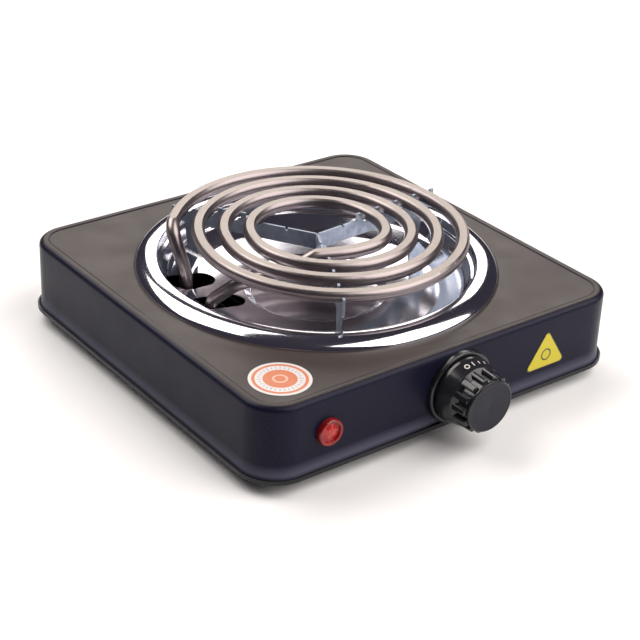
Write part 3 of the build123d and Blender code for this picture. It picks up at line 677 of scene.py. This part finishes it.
def collar():
    """Dished ring behind the knob, relieved over the flare."""
    centre = Vector(((COLLAR_LOW.x + COLLAR_HIGH.x) / 2, 0, (KNOB_LOW.z + KNOB_HIGH.z) / 2))
    tall = COLLAR_HIGH.y - COLLAR_LOW.y
    outer = COLLAR_HIGH.z - centre.z
    profile = [(COLLAR_BORE_R, 0.0), (outer - 1.2, 0.0), (outer, 0.0), (outer, tall - 1.0),
               *arc(outer - 1.0, tall - 1.0, 1.0, 1.0, 10, 90, 6), (outer - 2.2, tall - 0.1),
               (outer - 2.6, tall - 0.55), (COLLAR_BORE_R, tall - 0.55)]
    points, faces = lathe(profile, 168)
    floor = COLLAR_LOW.z - centre.z
    clipped = [(x, max(y, floor) if z < COLLAR_RELIEF else y, z) for x, y, z in points]
    place = facing_front(centre.x, COLLAR_HIGH.y, centre.z)
    gloss = [MATERIALS["collar_black"]]
    piece("collar", (clipped, faces), gloss, "base", "collar_black", ("knob_collar",), 40, place)


LENS_STEM_R = 4.9
LENS_STEM_BACK = -11.8
DOME_FACETS = 16
DOME_RINGS = ((2.4, -0.35), (4.7, -1.25))  # radius, and height over the flange's crest
FACET_STEP = 0.22


def lamp():
    """Pilot lens: a dark red flange round a faceted dome, whose lighter red is painted light on the same
    plastic.
    """
    centre = (LENS_LOW + LENS_HIGH) / 2
    tall = -LENS_LOW.y - WALL
    outer = (LENS_HIGH.z - LENS_LOW.z) / 2
    place = facing_front(centre.x, -WALL, centre.z)
    profile = [(AXIS_R, LENS_STEM_BACK), (LENS_STEM_R, LENS_STEM_BACK), (LENS_STEM_R, 0.0),
               (outer, 0.0), (outer, 1.2), *arc(outer - 0.7, tall - 1.2, 0.7, 1.2, 10, 90, 8),
               (5.3, tall - 0.25), (LENS_STEM_R, tall - 1.2), (AXIS_R, tall - 1.2)]
    shared = ("base", "lens_red")
    flange = lathe(profile, 96)
    piece("lens", flange, [MATERIALS["lens_red"]], *shared, ("pilot_lamp_lens",), 40, place)
    points = [(0, 0, tall - 0.15)]
    for radius, height in DOME_RINGS:
        for i in range(DOME_FACETS):
            turn = 2 * pi * i / DOME_FACETS
            reach = height - (FACET_STEP if i % 2 else 0.0)
            points.append((radius * cos(turn), radius * sin(turn), tall + reach))
    faces = []
    for i in range(DOME_FACETS):
        j = (i + 1) % DOME_FACETS
        faces.append((0, 1 + i, 1 + j))
        faces.append((1 + i, 1 + DOME_FACETS + i, 1 + DOME_FACETS + j, 1 + j))
    faces.append(tuple(reversed(range(1 + DOME_FACETS, 1 + 2 * DOME_FACETS))))
    piece("lens_dome", (points, faces), [LIT_DOME_RED], *shared, (), 10, place)


def disc(radius, low, high, steps=96):
    """Thin disc with a bevelled upper edge."""
    axis_r = 0.01
    edge = [(radius, low), (radius, high - 0.02), (radius - 0.03, high)]
    return lathe([(axis_r, low), *edge, (axis_r, high)], steps)


def ring(inner, outer, low, high, steps=96):
    """Flat ring."""
    return lathe([(inner, low), (outer, low), (outer, high), (inner, high)], steps)


def joined(*parts):
    """One list of points and faces from several."""
    points, faces = [], []
    for more_points, more_faces in parts:
        start = len(points)
        points += more_points
        faces += [tuple(start + i for i in face) for face in more_faces]
    return points, faces


def turned(part, angle, radius):
    """A flat piece moved out to a radius and turned round the centre."""
    points, faces = part
    spin = Matrix.Rotation(radians(angle), 3, "Z")
    return [tuple(spin @ (Vector(p) + Vector((0, radius, 0)))) for p in points], faces


TICK_COUNT = 30
TICK_EVERY = 5  # every so many ticks one is long
INK_LAYER = 0.03


def round_sticker():
    """Round label: white edge, orange ring, white band with ticks and an orange centre."""
    middle = (DISC_LOW + DISC_HIGH) / 2
    place = Matrix.Translation(Vector((middle.x, middle.y, DECK_Z)) * MM)
    radius = (DISC_HIGH.x - DISC_LOW.x) / 2
    top = DISC_HIGH.z - DECK_Z
    low, high = top - 0.02, top + INK_LAYER
    orange = MATERIALS["label_orange"]
    shared = ("base", "label_orange")
    piece("sticker_base", disc(radius, 0, top), [INK_WHITE], *shared, ("round_label",), 30, place)
    piece("sticker_ring", ring(radius - 3.1, radius - 1.6, low, high), [orange], *shared, (), 30, place)
    piece("sticker_centre", disc(radius - 6.75, low, high), [orange], *shared, (), 30, place)
    ticks = []
    for i in range(TICK_COUNT):
        bar = flat_bar(0.55, 1.4 if i % TICK_EVERY else 2.2, INK_LAYER + 0.01)
        ticks.append(turned(bar, 360 / TICK_COUNT * i, radius - 4.95))
    raised = place @ Matrix.Translation((0, 0, (top - 0.005) * MM))
    piece("sticker_ticks", joined(*ticks), [INK_GREY], *shared, (), 30, raised)
    mark = ring(2.6, 3.7, top, top + 2 * INK_LAYER)
    piece("sticker_mark", mark, [INK_PALE], *shared, (), 30, place)


SIGN_HALF = 13.7
SIGN_FOOT = -9.7
SIGN_TIP = 11.2
SIGN_CORNER_STEPS = 8


def triangle_loop(inset, corner_r):
    """Outline of the triangular label, moved inwards."""
    half, low, high = SIGN_HALF, SIGN_FOOT, SIGN_TIP
    corners = [Vector((-half, low)), Vector((half, low)), Vector((0, high))]
    loop = []
    for i, corner in enumerate(corners):
        before, after = corners[i - 1], corners[(i + 1) % 3]
        u, v = (before - corner).normalized(), (after - corner).normalized()
        bend = u.angle(v)
        bisector = (u + v).normalized()
        centre_r = corner + bisector * (inset + corner_r) / sin(bend / 2)
        normal_u = Vector((u.y, -u.x))
        if normal_u.dot(bisector) > 0:
            normal_u = -normal_u
        normal_v = Vector((v.y, -v.x))
        if normal_v.dot(bisector) > 0:
            normal_v = -normal_v
        for step in range(SIGN_CORNER_STEPS + 1):
            blend = normal_u.lerp(normal_v, step / SIGN_CORNER_STEPS).normalized()
            loop.append(centre_r + blend * corner_r)
    return loop


def flat_loop(loops, heights):
    """Solid from loops of equal size stacked at heights, closed at both ends."""
    size = len(loops[0])
    points = [(p.x, p.y, z) for loop, z in zip(loops, heights) for p in loop]
    faces = rings_to_faces(len(loops), size)
    faces.append(tuple(reversed(range(size))))
    faces.append(tuple((len(loops) - 1) * size + i for i in range(size)))
    return points, faces


def triangle_sticker():
    """Yellow triangle with a dark outline and a plain ring in the middle."""
    middle = (SIGN_LOW + SIGN_HIGH) / 2
    outer = triangle_loop(0.0, 1.8)
    edge = triangle_loop(0.45, 1.6)
    heights = [p.y for p in outer]
    place = facing_front(middle.x, -WALL, middle.z - (max(heights) + min(heights)) / 2)
    shared = ("base", "label_yellow")
    border = flat_loop([outer, outer], (0.0, 0.13))
    piece("sign_border", border, [INK_DARK], *shared, ("triangle_label",), 30, place)
    field = flat_loop([edge, edge], (0.12, 0.16))
    piece("sign_field", field, [MATERIALS["label_yellow"]], *shared, (), 30, place)
    lowered = place @ Matrix.Translation(Vector((0, -2.6, 0)) * MM)
    piece("sign_ring", ring(2.5, 3.3, 0.15, 0.19, 64), [INK_DARK], *shared, (), 30, lowered)


def roll_edges(target, name, width, segments, angle):
    """Bevels the edges sharper than angle; width in millimetres."""
    step = target.modifiers.new(name, "BEVEL")
    step.width = width * MM
    step.segments = segments
    step.limit_method = "ANGLE"
    step.angle_limit = radians(angle)


def arms():
    """Pressed edges on the support strips."""
    for name in ("front", "rear_left", "right"):
        roll_edges(NODES[f"coil_support_{name}"], "pressed_edges", 0.18, 2, 40)


def soften_coil():
    """Rolled edge of the tube's flat, and one smooth skin along it."""
    tube = NODES["heating_coil"]
    weld = tube.modifiers.new("one_skin", "WELD")
    weld.merge_threshold = 1e-6
    roll_edges(tube, "rolled_edge", 1.3, 5, 24)


def dress():
    """Gives every CAD node its slot's finish."""
    for part in frame["record"]["subparts"]:
        mesh = NODES[part["node"]].data
        mesh.materials.clear()
        mesh.materials.append(MATERIALS[part["material_slot"]])


# Floor, light and camera
WARM = (1.0, 0.955, 0.915)
ROOM = (0.043, 0.039, 0.054, 1)
TABLE_HALF = 6.0
# Name: centre, point it faces, size, all in metres, and power in watts
PANELS = {
    "panel_rear_left": ((-0.38, 0.83, 1.17), (0, 0, 0), (1.4, 1.0), 22),
    "panel_front_right": ((0.62, -0.83, 1.03), (0, 0, 0), (1.7, 1.6), 34),
    "panel_rear_right": ((0.95, 1.26, 0.86), (0, 0, 0.05), (1.2, 0.5), 7),
}


def emitter(name, centre, target, size, power):
    """Warm rectangular panel that faces target."""
    data = bpy.data.lights.new(name, "AREA")
    data.shape = "RECTANGLE"
    data.size, data.size_y = size
    data.energy = power
    data.color = WARM
    panel = bpy.data.objects.new(name, data)
    bpy.context.scene.collection.objects.link(panel)
    aim = (Vector(target) - Vector(centre)).to_track_quat("-Z", "Y")
    panel.matrix_world = Matrix.Translation(centre) @ aim.to_matrix().to_4x4()


def studio():
    """White table, soft panels at the rear left, front right and rear right, and a dim room."""
    mesh = bpy.data.meshes.new("table")
    far = TABLE_HALF
    corners = [(-far, -far, 0), (far, -far, 0), (far, far, 0), (-far, far, 0)]
    mesh.from_pydata(corners, [], [(0, 1, 2, 3)])
    table = bpy.data.objects.new("table", mesh)
    bpy.context.scene.collection.objects.link(table)
    material, tree, shader = graph("table_white")
    white = mix(tree, noise(tree, 6, 3), (0.86, 0.86, 0.86), (0.88, 0.88, 0.88))
    link(tree, shader, Base_Color=white, Roughness=spread(tree, noise(tree, 40, 3), 0.55, 0.65))
    mesh.materials.append(material)
    world = bpy.data.worlds.new("room")
    bpy.context.scene.world = world
    world.use_nodes = True
    back = world.node_tree.nodes["Background"]
    back.inputs["Color"].default_value = ROOM
    back.inputs["Strength"].default_value = 1.0
    for name, values in PANELS.items():
        emitter(name, *values)


# The camera that lines up with the photo: degrees, metres and millimetres of lens
AZIMUTH, ELEVATION, ROLL = -37.00387, 28.60159, 1.91412
CAMERA_TARGET = (-0.005541, 0.014237, 0.007)
CAMERA_DISTANCE = 0.874864
LENS = 91.998
SENSOR = 36.0
SHIFT_X, SHIFT_Y = 0.0477, -0.0003


def camera():
    """Camera at a three-quarter height, seen from the front left corner."""
    azimuth, elevation, roll = radians(AZIMUTH), radians(ELEVATION), radians(ROLL)
    level = Vector((cos(azimuth), sin(azimuth), 0))
    back = Vector((sin(azimuth) * cos(elevation), -cos(azimuth) * cos(elevation), sin(elevation)))
    upright = back.cross(level)
    right = level * cos(roll) + upright * sin(roll)
    up = upright * cos(roll) - level * sin(roll)
    data = bpy.data.cameras.new("camera")
    data.lens = LENS
    data.sensor_width = SENSOR
    data.shift_x = SHIFT_X
    data.shift_y = SHIFT_Y
    data.clip_end = 50
    eye = bpy.data.objects.new("camera", data)
    bpy.context.scene.collection.objects.link(eye)
    place = Matrix((right, up, back)).transposed().to_4x4()
    place.translation = Vector(CAMERA_TARGET) + back * CAMERA_DISTANCE
    eye.matrix_world = place
    bpy.context.scene.camera = eye


def main():
    """Builds the looks."""
    dress()
    soften_coil()
    housing()
    bowl()
    arms()
    knob()
    collar()
    lamp()
    round_sticker()
    triangle_sticker()
    studio()
    camera()
    bpy.context.scene.view_settings.view_transform = "Standard"


main()
